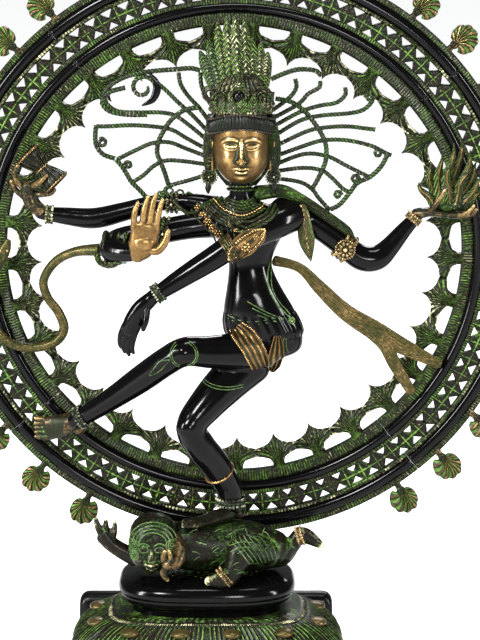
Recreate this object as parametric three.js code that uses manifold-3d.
// A brass dancer inside a ring of flames, standing on a dwarf, a cushion plinth and a lotus pedestal.
// Millimetres, +Z up, the front faces -Y. Every piece is a separate closed solid.
import * as THREE from "three";
import { mergeVertices } from "three/addons/utils/BufferGeometryUtils.js";
import Module from "manifold-3d";

const wasm = await Module();
wasm.setup();

// ---- Driving dimensions ---------------------------------------------------------------------------------
const GAP = 0.5; // clearance left between pieces that meet
const FACET = 0.5; // facets flatter than this are merged
const BASE_X = -26; // the base stands a little left of the ring's centre
const FOOT_Z = 2.6; // underside of the pedestal, above its closing plate
const PEDESTAL_TOP = 95;
const PLINTH_TOP = 131;

const RING_Z = 432; // height of the ring's centre
const RING_BACK = 35; // back face of the ring
const PLATE = 5; // thickness of the flat parts of the ring
const LEAF_TIP_R = 183;
const LEAF_VALLEY_R = 198;
const FLANGE_IN_R = 215;
const BAND_IN_R = 230;
const LATTICE_IN_R = 237;
const LATTICE_OUT_R = 256;
const BAND_OUT_R = 265;
const FLANGE_OUT_R = 275.5;
const FLAME_TIP_R = 306;
const BAND_HALF = 5; // half the width of a polished band
const LEAVES = 33;
const FLAMES_A_SIDE = 15;
const SEAMS_DEG = [39.5, 129.5, 219.5, 309.5]; // brazed seams between the ring's four castings
const RING_STEPS = 56;

// ---- Materials ------------------------------------------------------------------------------------------
function finish(color, roughness, metalness) {
  return new THREE.MeshStandardMaterial({ color, roughness, metalness });
}
const BLACK = finish(0x14110f, 0.18, 0.8);
const GREEN = finish(0x2f4a22, 0.55, 0.6);
const GOLD = finish(0xa8804a, 0.3, 0.95);
const OLIVE = finish(0x5a4a20, 0.4, 0.85);
const STEEL = finish(0x8a8a88, 0.35, 0.9);
const FELT = finish(0x20261f, 0.9, 0);

// ---- Solids ---------------------------------------------------------------------------------------------
function bare(geometry) {
  const copy = geometry.clone();
  for (const name of Object.keys(copy.attributes)) if (name !== "position") copy.deleteAttribute(name);
  return mergeVertices(copy, 1e-3);
}

function solidOf(geometry) {
  const merged = bare(geometry);
  const build = (triVerts) => new wasm.Manifold(new wasm.Mesh({
    numProp: 3,
    vertProperties: new Float32Array(merged.attributes.position.array),
    triVerts,
  }));
  const triVerts = new Uint32Array(merged.index.array);
  const solid = build(triVerts);
  return solid.volume() < 0 ? build(triVerts.reverse()) : solid;
}

function geometryOf(solid) {
  const mesh = solid.getMesh();
  const geometry = new THREE.BufferGeometry();
  geometry.setAttribute("position", new THREE.BufferAttribute(new Float32Array(mesh.vertProperties), 3));
  geometry.setIndex(new THREE.BufferAttribute(new Uint32Array(mesh.triVerts), 1));
  return geometry;
}

const joined = (...geometries) => geometryOf(geometries.map(solidOf).reduce((sum, next) => sum.add(next)));
function cut(geometry, ...tools) {
  let rest = solidOf(geometry);
  for (const tool of tools) rest = rest.subtract(solidOf(tool));
  return geometryOf(rest);
}

// The solid with its surface pushed outwards by a distance, used to cut clearance around a piece.
function grown(geometry, distance) {
  const copy = bare(geometry);
  copy.computeVertexNormals();
  const { position, normal } = copy.attributes;
  const lean = new Array(position.count).fill(1);
  const triangle = new THREE.Triangle();
  const face = new THREE.Vector3();
  const outward = new THREE.Vector3();
  for (let i = 0; i < copy.index.count; i += 3) {
    const corners = [0, 1, 2].map((k) => copy.index.getX(i + k));
    triangle.setFromAttributeAndIndices(position, ...corners);
    triangle.getNormal(face);
    for (const k of corners) lean[k] = Math.min(lean[k], face.dot(outward.fromBufferAttribute(normal, k)));
  }
  for (let i = 0; i < position.count; i++) {
    const reach = distance / Math.max(lean[i], 0.35);
    outward.fromBufferAttribute(normal, i).multiplyScalar(reach).add(face.fromBufferAttribute(position, i));
    position.setXYZ(i, outward.x, outward.y, outward.z);
  }
  return solidOf(copy).add(solidOf(geometry));
}

function largestBody(solid) {
  return solid.decompose().reduce((best, next) => (next.volume() > best.volume() ? next : best));
}

const statue = new THREE.Group();
const placed = [];

// Adds a named piece, trimmed clear of every piece placed before it.
function add(name, geometry, material) {
  geometry.computeBoundingBox();
  let solid = solidOf(geometry).simplify(FACET);
  for (const other of placed) {
    if (other.box.intersectsBox(geometry.boundingBox)) solid = solid.subtract(other.cutter);
  }
  const trimmed = geometryOf(largestBody(solid.simplify(FACET / 8)));
  trimmed.computeVertexNormals();
  const mesh = new THREE.Mesh(trimmed, material);
  mesh.name = name;
  statue.add(mesh);
  placed.push({ box: new THREE.Box3().setFromObject(mesh).expandByScalar(1), cutter: grown(trimmed, GAP) });
}

// ---- Shapes ---------------------------------------------------------------------------------------------
const smooth = (a, b, c, d, t) =>
  0.5 * (2 * b + (c - a) * t + (2 * a - 5 * b + 4 * c - d) * t * t + (3 * b - a - 3 * c + d) * t * t * t);

// Numbers interpolated along rows of stations, at a position from 0 to the last row.
function between(rows, at) {
  const i = Math.min(Math.floor(at), rows.length - 2);
  const row = (k) => rows[Math.max(0, Math.min(rows.length - 1, k))];
  return rows[0].map((_, n) => smooth(row(i - 1)[n], row(i)[n], row(i + 1)[n], row(i + 2)[n], at - i));
}

// A closed drum of unit radius whose rows are then laid on rings of any size and place.
function moulded(rows, sides, ringAt) {
  const profile = [new THREE.Vector2(0, 0)];
  for (let i = 0; i <= rows; i++) profile.push(new THREE.Vector2(1, i));
  profile.push(new THREE.Vector2(0, rows));
  const geometry = bare(new THREE.LatheGeometry(profile, sides));
  const { position } = geometry.attributes;
  for (let i = 0; i < position.count; i++) {
    const point = ringAt(position.getY(i), position.getX(i), position.getZ(i));
    position.setXYZ(i, point.x, point.y, point.z);
  }
  return geometryOf(solidOf(geometry));
}

// A limb: stations of [x, y, z, half width in the front view, half thickness from front to back].
function limb(stations, { sides = 10, rows = 2, facing = [0, 1, 0] } = {}) {
  const steps = (stations.length - 1) * rows;
  const depth = new THREE.Vector3(...facing);
  const centre = (at) => new THREE.Vector3(...between(stations, at).slice(0, 3));
  return moulded(steps, sides, (row, across, along) => {
    const at = row / rows;
    const ahead = centre(Math.min(at + 0.05, stations.length - 1));
    const tangent = ahead.sub(centre(Math.max(at - 0.05, 0))).normalize();
    const side = new THREE.Vector3().crossVectors(tangent, depth).normalize();
    const front = new THREE.Vector3().crossVectors(side, tangent);
    const [, , , wide, thick] = between(stations, at);
    return centre(at).addScaledVector(side, wide * across).addScaledVector(front, thick * along);
  });
}

// A stack of level rounded-rectangle sections: stations of [z, centre x, centre y, half width, half depth].
function tower(stations, { sides = 20, rows = 2, power = 2 } = {}) {
  const round = (value) => Math.sign(value) * Math.abs(value) ** (2 / power);
  return moulded((stations.length - 1) * rows, sides, (row, across, along) => {
    const size = Math.hypot(across, along) || 1;
    const [z, x, y, wide, deep] = between(stations, row / rows);
    const edge = size > 0.5 ? 1 : 0;
    return new THREE.Vector3(x + edge * wide * round(across / size), y + edge * deep * round(along / size),
      z);
  });
}

// A flat plate standing in the front view: an outline of [x, z], from its front face back.
function plate(outline, front, thickness) {
  const shape = new THREE.Shape(outline.map(([x, z]) => new THREE.Vector2(x, z)));
  const geometry = new THREE.ExtrudeGeometry(shape, { depth: thickness, bevelEnabled: false });
  return geometry.rotateX(Math.PI / 2).translate(0, front + thickness, 0);
}

const pierced = (outline, front, thickness, openings) =>
  cut(plate(outline, front, thickness),
    ...openings.map((opening) => plate(opening, front - 1, thickness + 2)));

function box(x0, x1, y0, y1, z0, z1) {
  return new THREE.BoxGeometry(x1 - x0, y1 - y0, z1 - z0).translate((x0 + x1) / 2, (y0 + y1) / 2,
    (z0 + z1) / 2);
}

// A turned piece about the line between two points: profile of [radius, share of the length].
function turned(from, to, profile, sides = 16) {
  const start = new THREE.Vector3(...from);
  const axis = new THREE.Vector3(...to).sub(start);
  const points = profile.map(([radius, share]) => new THREE.Vector2(radius, share * axis.length()));
  const turn = new THREE.Quaternion().setFromUnitVectors(new THREE.Vector3(0, 1, 0), axis.normalize());
  return new THREE.LatheGeometry(points, sides).applyQuaternion(turn).translate(...from);
}

const rod = (from, to, radius, sides = 16) =>
  turned(from, to, [[0, 0], [radius, 0], [radius, 1], [0, 1]], sides);

// A ring worn round a limb at a point, square to a direction, with an optional boss on its front.
function bangle(centre, direction, radius, thickness, width) {
  const along = new THREE.Vector3(...direction).normalize();
  const end = (sign) => new THREE.Vector3(...centre).addScaledVector(along, (sign * width) / 2).toArray();
  const outer = radius + thickness;
  return cut(
    turned(end(-1), end(1), [[0, 0], [outer, 0.15], [outer, 0.85], [0, 1]], 10),
    rod(end(-1.2), end(1.2), radius, 10),
  );
}

// A hand: a palm and its fingers, each finger a list of limb stations.
const hand = (palm, fingers, options = {}) =>
  joined(limb(palm, { sides: 10, ...options }),
    ...fingers.map((f) => limb(f, { sides: 6, rows: 1, ...options })));

// ---- Base -----------------------------------------------------------------------------------------------
const PEDESTAL = [
  [FOOT_Z, 133, 76], [14, 130, 75], [24, 116, 66], [31, 113, 63], [40, 122, 69],
  [53, 128, 73], [68, 124, 71], [82, 109, 62], [91, 92, 54], [PEDESTAL_TOP, 80, 50],
];
const CUSHION = [
  [PEDESTAL_TOP, 71, 45], [101, 73, 47], [106, 79, 53], [113, 83, 57], [119, 84, 58], [125, 80, 54],
  [PLINTH_TOP, 66, 41],
];
const WALL = 5;
const ROD_R = 3;
const HOLE = 1.4; // radial clearance of a bolt hole
const ROD_SPOT = [-14, -8];

const level = (sections, shrink = 0) =>
  sections.map(([z, wide, deep]) => [z, BASE_X, 0, wide - shrink, deep - shrink]);

// A hollow casting, open underneath, with a hole for the tie rod through its top.
function hollowBase(sections, power) {
  const shell = tower(level(sections), { sides: 20, rows: 1, power });
  const [foot, top] = [sections[0], sections.at(-1)];
  const walls = sections.filter(([z]) => z > foot[0] && z < top[0] - 2 * WALL);
  const core = level([[foot[0] - 1, foot[1], foot[2]], ...walls, [top[0] - WALL - 1, top[1], top[2]]], WALL);
  const hole = rod([...ROD_SPOT, foot[0] - 2], [...ROD_SPOT, top[0] + 2], ROD_R + HOLE);
  return cut(shell, tower(core, { sides: 20, rows: 1, power }), hole);
}

add("lotus_pedestal", hollowBase(PEDESTAL, 4), GREEN);
add("base_plate", box(BASE_X - 128, BASE_X + 128, -71, 98, 0, 2), FELT);
add("rear_block", joined(box(BASE_X - 126, BASE_X + 122, 77, 99, 2.6, 72),
  box(BASE_X - 121, BASE_X + 117, 77, 97, 68, 78)), BLACK);
add("cushion_plinth", hollowBase(CUSHION, 3), BLACK);

// ---- Ring -----------------------------------------------------------------------------------------------
const onRing = (radius, degrees) => {
  const angle = THREE.MathUtils.degToRad(degrees);
  return [radius * Math.cos(angle), RING_Z + radius * Math.sin(angle)];
};

// The ring's section, from its inner flange to its outer one: [radius, distance in front of the back face].
function ringBody() {
  const bump = (radius) => [[-1, PLATE], [-0.6, 8.6], [0.6, 8.6], [1, PLATE]]
    .map(([share, height]) => [radius + share * BAND_HALF, height]);
  const section = [
    [FLANGE_IN_R - 2, 0], [FLANGE_IN_R - 2, PLATE], ...bump(BAND_IN_R), [LATTICE_IN_R, 3.5],
    [LATTICE_OUT_R, 3.5],
    ...bump(BAND_OUT_R), [FLANGE_OUT_R, PLATE], [FLANGE_OUT_R, 0], [FLANGE_IN_R - 2, 0],
  ].map(([radius, height]) => new THREE.Vector2(radius, -height));
  return new THREE.LatheGeometry(section.reverse(), RING_STEPS).translate(0, RING_BACK, 0).translate(0, 0,
    RING_Z);
}

// The garland of pointed leaves inside the ring, joined side to side, with an opening between each two stems.
function leafGarland() {
  const pitch = 360 / LEAVES;
  const outline = [];
  const openings = [];
  for (let i = 0; i < LEAVES; i++) {
    const middle = -2 + i * pitch;
    outline.push(onRing(LEAF_TIP_R, middle), onRing(LEAF_VALLEY_R - 4, middle + pitch * 0.36));
    outline.push(onRing(LEAF_VALLEY_R - 4, middle + pitch * 0.64));
    const opening = [[213, 0.2], [213, 0.8], [204, 0.75], [204, 0.25]];
    openings.push(opening.map(([radius, share]) => onRing(radius, middle + pitch * share)));
  }
  const rim = Array.from({ length: RING_STEPS }, (_, i) => onRing(FLANGE_IN_R + 1, (i * 360) / RING_STEPS));
  return pierced(rim, RING_BACK - PLATE, PLATE, [...openings, outline]);
}

// Degrees from the top of the ring to each flame; they stand a little closer together near the top.
const flameAngle = (i) => 9 * i + (i < 0 ? -0.066 : 0.0476) * i * i;

function flame(i) {
  const outline = [[-3, -1], [-3.5, 7], [-11, 20], [0, 30.5], [11, 20], [3.5, 7], [3, -1]];
  return plate(outline, -3, 6)
    .translate(0, 0, FLANGE_OUT_R)
    .rotateY(THREE.MathUtils.degToRad(flameAngle(i)))
    .translate(0, RING_BACK - 4, RING_Z);
}

function quarterOfRing(whole, seam) {
  const reach = FLAME_TIP_R * 1.6;
  const skin = THREE.MathUtils.radToDeg(GAP / 2 / BAND_IN_R);
  const wedge = [[0, RING_Z], onRing(reach, seam + skin), onRing(reach, seam + 45),
    onRing(reach, seam + 90 - skin)];
  return geometryOf(solidOf(whole).intersect(solidOf(plate(wedge, -100, 200))));
}

const flames = [];
for (let i = -FLAMES_A_SIDE; i <= FLAMES_A_SIDE; i++) flames.push(flame(i));
const wholeRing = joined(ringBody(), leafGarland(), ...flames);
const QUARTERS = ["ring_top", "ring_left", "ring_bottom", "ring_right"];
QUARTERS.forEach((name, i) => add(name, quarterOfRing(wholeRing, SEAMS_DEG[i]), BLACK));

// ---- Ring bracket ---------------------------------------------------------------------------------------
const BOLT_Z = RING_Z - BAND_OUT_R;
const BOLT_R = 2.5;
add("ring_bracket", cut(
  joined(box(-24, 24, 35.5, 40, 124, BOLT_Z + 9), box(-24, 24, 35.5, 52, 128, 134)),
  rod([-14, 30, BOLT_Z], [-14, 60, BOLT_Z], BOLT_R + HOLE), rod([14, 30, BOLT_Z], [14, 60, BOLT_Z],
    BOLT_R + HOLE),
), BLACK);
for (const [name, x] of [["ring_bolt_left", -14], ["ring_bolt_right", 14]]) {
  add(name, turned([x, 35.6, BOLT_Z], [x, 46, BOLT_Z], [[0, 0], [BOLT_R, 0], [BOLT_R, 0.52], [5, 0.52],
    [5, 0.9], [4.2, 1], [0, 1]], 12), STEEL);
}

// ---- Dwarf ----------------------------------------------------------------------------------------------
add("dwarf_body", cut(limb([
  [-62, -14, 157, 19, 17], [-45, -14, 157, 24, 21], [-20, -12, 156, 25, 23], [8, -10, 155, 25, 22],
  [30, -9, 152, 21, 19], [44, -8, 150, 14, 13],
], { sides: 14 }), rod([...ROD_SPOT, 100], [...ROD_SPOT, 150], ROD_R + HOLE)), GREEN);
add("dwarf_head", limb([
  [-80, -28, 138, 6, 6], [-79, -29, 144, 17, 15], [-77, -30, 156, 22, 19], [-76, -30, 170, 23, 20],
  [-76, -28, 184, 19, 17], [-76, -27, 194, 8, 8],
], { sides: 12, rows: 1 }), GREEN);
add("dwarf_raised_arm", hand(
  [[-92, -20, 146, 9, 7], [-104, -20, 152, 8, 6.5], [-116, -20, 160, 7.5, 6], [-123, -20, 168, 8, 5]],
  [[[-122, -20, 166, 5, 4], [-128, -20, 176, 4, 4], [-130, -20, 184, 2.5, 2.5]],
    [[-116, -20, 164, 4, 4], [-113, -20, 174, 3.4, 3.4], [-113, -20, 181, 2, 2]]],
), GREEN);
add("dwarf_front_arm", hand(
  [[-56, -30, 168, 7, 7], [-50, -42, 160, 7, 7], [-54, -50, 152, 6, 6], [-62, -52, 150, 7, 6]],
  [[[-62, -52, 150, 4, 4], [-66, -53, 157, 3.5, 3.5], [-65, -53, 163, 2.5, 2.5]],
    [[-62, -52, 149, 5, 4], [-66, -52, 141, 4, 4], [-63, -51, 136, 3, 3]]],
  { facing: [0.3, 0.2, 1] },
), GREEN);
add("dwarf_knee_leg", limb([
  [30, -22, 152, 13, 12], [18, -34, 160, 14, 13], [7, -42, 160, 14, 13], [2, -46, 149, 11, 11],
  [-3, -48, 139, 9, 9], [-11, -50, 134, 9, 6], [-22, -50, 132, 5, 4],
], { facing: [0.2, 1, 0.3] }), GREEN);
add("dwarf_back_leg", limb([
  [36, -6, 144, 12, 12], [46, -6, 146, 11, 11], [55, -6, 155, 8, 8], [62, -6, 164, 7.5, 7],
  [69, -6, 163, 7.5, 6], [80, -6, 156, 4.5, 4],
]), GREEN);
add("tie_rod", rod([...ROD_SPOT, 78], [...ROD_SPOT, 149.5], ROD_R), STEEL);
add("tie_nut", cut(rod([...ROD_SPOT, 82], [...ROD_SPOT, 88.5], 6.5, 6),
  rod([...ROD_SPOT, 80], [...ROD_SPOT, 92], ROD_R + HOLE)), STEEL);

// ---- Dancer: trunk and head -----------------------------------------------------------------------------
add("torso", tower([
  [340, 34, -12, 14, 11], [346, 33, -12, 27, 19], [354, 31, -12, 33, 22], [368, 27, -12, 36, 23],
  [386, 23, -13, 33, 22],
  [404, 19, -13, 27, 19.5], [420, 16, -12, 21.5, 16.5], [432, 14.5, -11, 20.5, 16], [448, 14, -11, 28, 18.5],
  [462, 13, -10, 37, 20], [474, 12, -10, 38, 18], [484, 8.5, -10, 24, 14], [492, 6.5, -11, 12.5, 11.5],
  [505, 5.6, -12, 10.5, 10.5],
], { sides: 20, rows: 1 }), BLACK);
add("head", tower([
  [506, 6, -24, 6, 6], [509.5, 6, -24, 12, 11], [515, 6.2, -21, 17.5, 17.5], [524, 6.5, -18, 22, 22],
  [536, 6.6, -16, 24.8, 24.5],
  [550, 6.6, -15, 25.6, 25.5], [562, 6.6, -14, 25.5, 25], [572, 6.6, -13, 22, 22], [580, 6.6, -12, 15, 15],
], { sides: 20, rows: 1 }), GOLD);
add("head_band", cut(
  tower([[555, 6.6, -13, 29.5, 28], [560, 6.6, -13, 32, 30], [566, 6.6, -13, 32, 30],
    [571, 6.6, -13, 29.5, 28]], { sides: 20, rows: 1 }),
  tower([[550, 6.6, -14, 26, 25.8], [576, 6.6, -14, 26, 25.8]], { sides: 20, rows: 1 }),
), BLACK);
add("crown", tower([
  [571.6, 7, -12, 28, 26], [580, 7, -12, 28, 24], [588, 7.5, -11, 25, 22], [596, 7.5, -9, 21, 17],
  [604, 7.5, -6, 17, 12],
], { sides: 18, rows: 1 }), GREEN);
add("feather_crest", limb([
  [6, -7, 592, 25, 6], [5, -3, 602, 29, 5.5], [3, 2, 614, 33.5, 5], [2, 7, 626, 29, 4.5],
  [-0.5, 12, 637, 22, 4.2], [-1.5, 17, 648, 18, 4], [-1.5, 19, 656, 14, 3.5],
], { sides: 14, rows: 1 }), GREEN);

// Flying locks: strands that run from the side of the head to a scalloped rim, as one pierced plate.
function hairFan(hub, rim, waist, half) {
  const mix = (a, b, share) => a.map((value, n) => value + (b[n] - value) * share);
  const strand = (i, share) => mix(hub[i], rim[i], share);
  const spread = (i, share) => {
    const [a, b] = [strand(i, share), strand(i + 1, share)];
    return Math.hypot(a[0] - b[0], a[1] - b[1]);
  };
  const beside = (i, next, share) => mix(strand(i, share), strand(next, share),
    half / spread(Math.min(i, next), share));
  const openings = [];
  for (let i = 0; i + 1 < rim.length; i++) {
    let start = 0.12;
    while (spread(i, start) < 2 * half + 3) start += 0.04;
    for (const [low, high] of [[start, waist], [Math.max(start, waist + 0.08), 0.93]]) {
      if (high < low + 0.12) continue;
      openings.push([beside(i, i + 1, low), beside(i, i + 1, high), beside(i + 1, i, high),
        beside(i + 1, i, low)]);
    }
  }
  return [[...rim, ...[...hub].reverse()], openings];
}

const LEFT_HUB = [[-14, 583], [-20, 580], [-24, 572], [-26, 563], [-27, 553], [-28, 544], [-28, 534],
  [-26, 524]];
const LEFT_RIM = [[-28, 608], [-66, 612], [-97, 604], [-119, 585], [-136, 560], [-128, 532], [-107, 510],
  [-80, 492]];
const RIGHT_HUB = [[30, 583], [36, 580], [40, 572], [42, 563], [43, 553], [44, 544], [44, 534], [42, 524]];
const RIGHT_RIM = [[36, 604], [62, 610], [98, 606], [121, 588], [140, 563], [145, 541], [122, 516],
  [90, 484]];
for (const [name, hub, rim] of [["hair_fan_left", LEFT_HUB, LEFT_RIM],
  ["hair_fan_right", RIGHT_HUB, RIGHT_RIM]]) {
  const [outline, openings] = hairFan(hub, rim, 0.5, 2.4);
  add(name, pierced(outline, -3, 4, openings), GREEN);
}
for (const [name, x] of [["ear_ornament_left", -24], ["ear_ornament_right", 37]]) {
  add(name, limb([[x, -15, 545, 6, 5], [x, -15, 532, 7, 6], [x, -15, 518, 7, 6], [x, -14, 507, 5, 4]],
    { rows: 1 }), GREEN);
}

// ---- Dancer: legs ---------------------------------------------------------------------------------------
add("raised_leg", limb([
  [26, -20, 350, 19, 17], [0, -31, 350, 17.5, 16.5], [-24, -42, 352, 15.5, 15], [-45, -49, 354, 14, 14],
  [-62, -44, 344, 14, 13.5],
  [-85, -33, 325, 13.2, 12.8], [-110, -22, 305, 11.5, 11.2], [-133, -13, 288, 10.5, 10],
  [-147, -8, 279, 9, 9],
], { sides: 12 }), BLACK);
add("standing_leg", limb([
  [16, -15, 336, 21, 16], [-5, -24, 320, 20, 18], [-26, -36, 300, 17, 17], [-40, -43, 281, 14.5, 15],
  [-32, -37, 261, 15, 14.5],
  [-19, -26, 241, 14, 13], [-8, -16, 220, 13, 12.5], [-4, -12, 207, 12.5, 12], [-3, -10, 194, 10.5, 10.5],
], { sides: 12 }), BLACK);
add("raised_foot", hand(
  [[-147, -7, 279, 8.5, 8.5], [-155, -4, 274, 10, 8], [-166, 1, 269, 11.5, 6], [-176, 4, 266, 11.5, 4.5]],
  [-9, -4.6, -0.2, 4.2, 8.6].map((across) => [[-172, 4, 267 + across, 2.6, 3.5],
    [-180, 5, 266 + across, 2.4, 3], [-185, 5, 266 + across, 1.6, 2.2]]),
), GREEN);
add("standing_foot", hand(
  [[-1, -9, 192, 9, 9], [-9, -13, 187, 8, 10], [-22, -18, 184, 6, 11], [-34, -22, 182, 4.5, 11]],
  [-9, -4.5, 0, 4.5, 9].map((across) => [[-32, -22 + across, 182, 3.2, 2.4],
    [-42, -25 + across, 182, 2.8, 2.3], [-47, -26 + across, 181, 2, 1.6]]),
), GOLD);

// ---- Dancer: arms ---------------------------------------------------------------------------------------
add("drum_arm", limb([
  [-12, -4, 479, 12, 11], [-40, 0, 484, 9.5, 9], [-72, 4, 483, 8, 8], [-104, 6, 474, 9.5, 9],
  [-130, 7, 468, 10.2, 9.5], [-155, 9, 469.5, 8.6, 8.4], [-177, 10, 471.5, 6.6, 6.6],
]), BLACK);
add("blessing_arm", limb([
  [-12, -9, 466, 13, 13], [-42, -12, 464, 12, 12], [-75, -15, 458, 12, 12], [-103, -20, 451, 14, 14],
  [-112, -30, 447, 12.5, 13], [-104, -40, 446, 9.5, 10], [-92, -47, 447, 8, 8.5],
], { facing: [0, 0, 1] }), BLACK);
add("fire_arm", limb([
  [44, -5, 478, 13, 12], [62, -2, 470, 11.5, 11], [80, 0, 459, 11, 10.5], [103, 2, 442, 11.5, 11],
  [119, 3, 431, 12.5, 12], [133, 4, 431, 12, 12],
  [144, 6, 440, 10, 10], [157, 9, 455, 8, 8], [171, 12, 471, 5.8, 5.8],
]), BLACK);
add("crossing_arm", limb([
  [57, -14, 475, 14, 12], [40, -25, 470, 14.5, 13], [20, -33, 462, 13, 12], [0, -39, 453, 12, 11.5],
  [-20, -42, 440, 11.5, 11], [-49, -45, 422, 9.5, 9.5], [-76, -47, 405, 6.8, 7],
]), BLACK);

add("blessing_hand", hand(
  [[-88, -49, 446, 9, 8], [-85, -54, 452, 12.5, 6], [-82, -56, 462, 13.5, 5.5], [-81, -57, 475, 13, 4.5]],
  [
    [[-91, -57, 474, 3.2, 3.2], [-90, -58, 486, 2.9, 2.9], [-87, -58, 495, 1.8, 1.8]],
    [[-84, -57, 476, 3.3, 3.3], [-81, -58, 490, 3, 3], [-78, -58, 501, 1.8, 1.8]],
    [[-77.5, -57, 476, 3.3, 3.3], [-74, -58, 490, 3, 3], [-71, -58, 503, 1.8, 1.8]],
    [[-71, -57, 474, 3.2, 3.2], [-68, -58, 487, 3, 3], [-65, -58, 499, 1.8, 1.8]],
    [[-78, -55, 452, 5, 5], [-67, -57, 453, 4, 4], [-61, -58, 462, 3.4, 3.4], [-59.5, -58, 471, 2, 2]],
  ],
), GOLD);
add("crossing_hand", hand(
  [[-76, -47, 404, 7, 6.5], [-85, -47, 395, 8.5, 6.5], [-92, -46, 383, 9, 6], [-96, -45, 372, 8.5, 5.5]],
  [
    [[-101, -45, 378, 3, 3.5], [-105, -44, 366, 2.9, 3], [-105, -43, 357, 1.8, 1.8]],
    [[-98, -45, 372, 3, 3.5], [-102, -44, 361, 2.9, 3], [-101, -43, 352, 1.8, 1.8]],
    [[-94, -45, 370, 3, 3.5], [-98, -44, 359, 2.9, 3], [-97, -43, 349, 1.8, 1.8]],
    [[-90, -45, 372, 3, 3.5], [-93, -44, 361, 2.9, 3], [-93, -43, 351, 1.8, 1.8]],
  ],
), BLACK);
add("drum_hand", hand(
  [[-179, 10, 473, 6.5, 6.5], [-187, 10, 481, 7.5, 6], [-191, 10, 491, 7.5, 5.5], [-191, 9, 498, 6.5, 5]],
  [
    [[-192, 9, 495, 3.5, 3.5], [-200, 8, 504, 3, 3], [-203, 6, 515, 2.4, 2.4]],
    [[-188, 8, 496, 3.5, 3.5], [-180, 0, 497, 3, 3], [-172, -4, 499, 2.4, 2.4]],
  ],
), BLACK);
add("fire_hand", hand(
  [[172, 12, 472, 6, 6], [182, 12, 473, 4.5, 9], [194, 12, 472, 4, 10.5], [203, 12, 471, 3.5, 10.5]],
  [
    [[201, 3, 471, 2.8, 2.8], [212, 2, 474, 2.6, 2.6], [222, 1, 480, 1.6, 1.6]],
    [[201, 9, 471, 2.8, 2.8], [213, 9, 471, 2.6, 2.6], [224, 9, 474, 1.6, 1.6]],
    [[201, 15, 471, 2.8, 2.8], [212, 16, 469, 2.6, 2.6], [222, 17, 469, 1.6, 1.6]],
    [[183, 6, 474, 3.2, 3.2], [188, 2, 485, 2.8, 2.8], [196, 0, 498, 1.6, 1.6]],
  ],
), GOLD);

// ---- Dancer: things held and worn -----------------------------------------------------------------------
add("hand_drum", turned([-193, 6, 530], [-163, 2, 501],
  [[0, 0], [12.5, 0], [13, 0.06], [11, 0.2], [5.5, 0.5], [11, 0.8], [13, 0.94], [12.5, 1], [0, 1]], 16),
  GOLD);
add("hand_flame", limb([
  [196, 12, 477, 10, 7], [198, 12, 484, 14, 8], [202, 12, 495, 14, 7], [207, 12, 508, 12, 6],
  [212, 12, 520, 9, 5], [219, 12, 533, 4, 3],
], { rows: 1 }), GREEN);
add("serpent", limb([
  [-106, -29, 443, 6, 6], [-124, -16, 443, 6, 6], [-147, -6, 439, 4.4, 4.4], [-166, 3, 428, 4.2, 4.2],
  [-178, 9, 409, 4.2, 4.2], [-175, 11, 392, 4.2, 4.2],
  [-165, 13, 377, 4.4, 4.4], [-160, 14, 361, 4.6, 4.6], [-168, 15, 348, 4.4, 4.4],
  [-187, 16, 342, 4.3, 4.3], [-208, 16, 345, 4.3, 4.3],
  [-223, 16, 360, 4.4, 4.4], [-229, 16, 388, 4.4, 4.4], [-224, 16, 417, 5, 4.5], [-215, 15, 436, 6, 4.5],
  [-211, 15, 446, 3, 2.5],
], { sides: 8 }), OLIVE);
add("sash_streamer", joined(
  limb([[38, -3, 430, 5, 3], [61, 2, 422, 4.5, 2.6], [80, 6, 402, 6.5, 2.4], [104, 10, 378, 8, 2.4],
    [132, 14, 359, 9.5, 2.4], [153, 17, 346, 8.5, 2.4], [175, 20, 334, 6.5, 2.2], [193, 22.5, 324, 5, 2]],
  { sides: 8 }),
  limb([[128, 14, 360, 8, 2.2], [142, 15, 345, 7, 2.2], [152, 18, 324, 6, 2.2], [168, 22.5, 297, 5, 2]],
    { sides: 8 }),
), OLIVE);
add("shoulder_scarf", limb([
  [24, -8, 494, 8, 9], [44, -6, 496, 6, 8], [62, -4, 488, 4.6, 7], [84, -2, 473, 4.4, 6],
  [103, 0, 459, 4.2, 5.5], [108, 0, 454, 3, 4],
], { sides: 8 }), GREEN);
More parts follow.
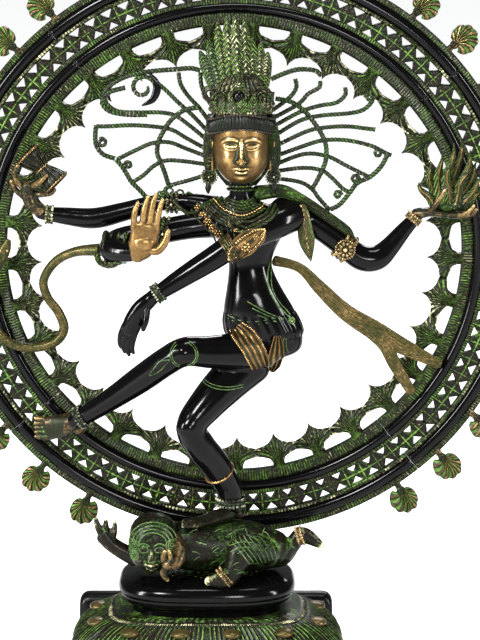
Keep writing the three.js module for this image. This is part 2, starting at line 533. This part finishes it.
add("scarf_tassel", limb([
  [66, -17, 480, 3, 3], [68, -19, 470, 6, 3.4], [67, -20, 456, 8, 3.6], [70, -20, 444, 6, 3],
  [73, -20, 433, 2, 2],
], { sides: 8, rows: 1 }), GOLD);
add("necklace", limb([
  [-15, -20, 491, 4, 3], [-10, -28, 480, 8, 3.5], [0, -33, 472, 10, 3.5], [11, -35, 468, 11, 3.5],
  [22, -34, 472, 10, 3.5], [31, -28, 481, 8, 3.5], [34, -20, 492, 4, 3],
], { sides: 8, rows: 1 }), GREEN);
add("hip_sash", limb([
  [13, -33, 372, 5, 6], [17, -38, 362, 9, 7], [22, -39, 350, 12, 8], [28, -37, 338, 12, 8],
  [34, -32, 330, 9, 7], [40, -28, 324, 4, 5],
], { sides: 10, rows: 1 }), GOLD);
add("belt", tower([
  [362, 28, -12, 39, 26], [370, 26.5, -12, 39.5, 26.5], [382, 24, -13, 36, 25.5],
], { sides: 16, rows: 1 }), GREEN);
add("crossing_armlet", limb([
  [-2, -50, 440, 5, 3], [4, -52, 448, 9, 4], [12, -50, 458, 10.5, 4], [21, -46, 467, 9, 4],
  [28, -42, 472, 4, 3],
], { sides: 10, rows: 1 }), GOLD);
add("fire_armlet", bangle([103, 2, 442], [1, 0.05, -0.75], 12, 2.6, 11), GOLD);
add("drum_bracelet", bangle([-172, 9.8, 471], [1, 0, -0.08], 6.8, 2.2, 6), GREEN);
add("fire_bracelet", bangle([167, 11, 467], [1, 0.2, 1.2], 6.2, 2.2, 6), GREEN);
add("crossing_bracelet", bangle([-70, -46.6, 409], [1, 0.05, 0.65], 7.4, 2.2, 7), GREEN);
add("raised_anklet", bangle([-143, -9.5, 281.5], [1, -0.3, 0.65], 9.4, 2.4, 7), GREEN);
add("calf_band", bangle([-14, -21, 231], [0.5, 0.5, -1], 13, 1.8, 4), GOLD);
add("standing_anklet", bangle([-3.5, -10.8, 199], [0, 0.05, 1], 11.4, 4, 8), GREEN);

// ---- The frame: the origin is under the middle of the whole statue --------------------------------------
const bounds = new THREE.Box3().setFromObject(statue);
const middle = bounds.getCenter(new THREE.Vector3());
statue.position.set(-middle.x, -middle.y, -bounds.min.z);

export default statue;
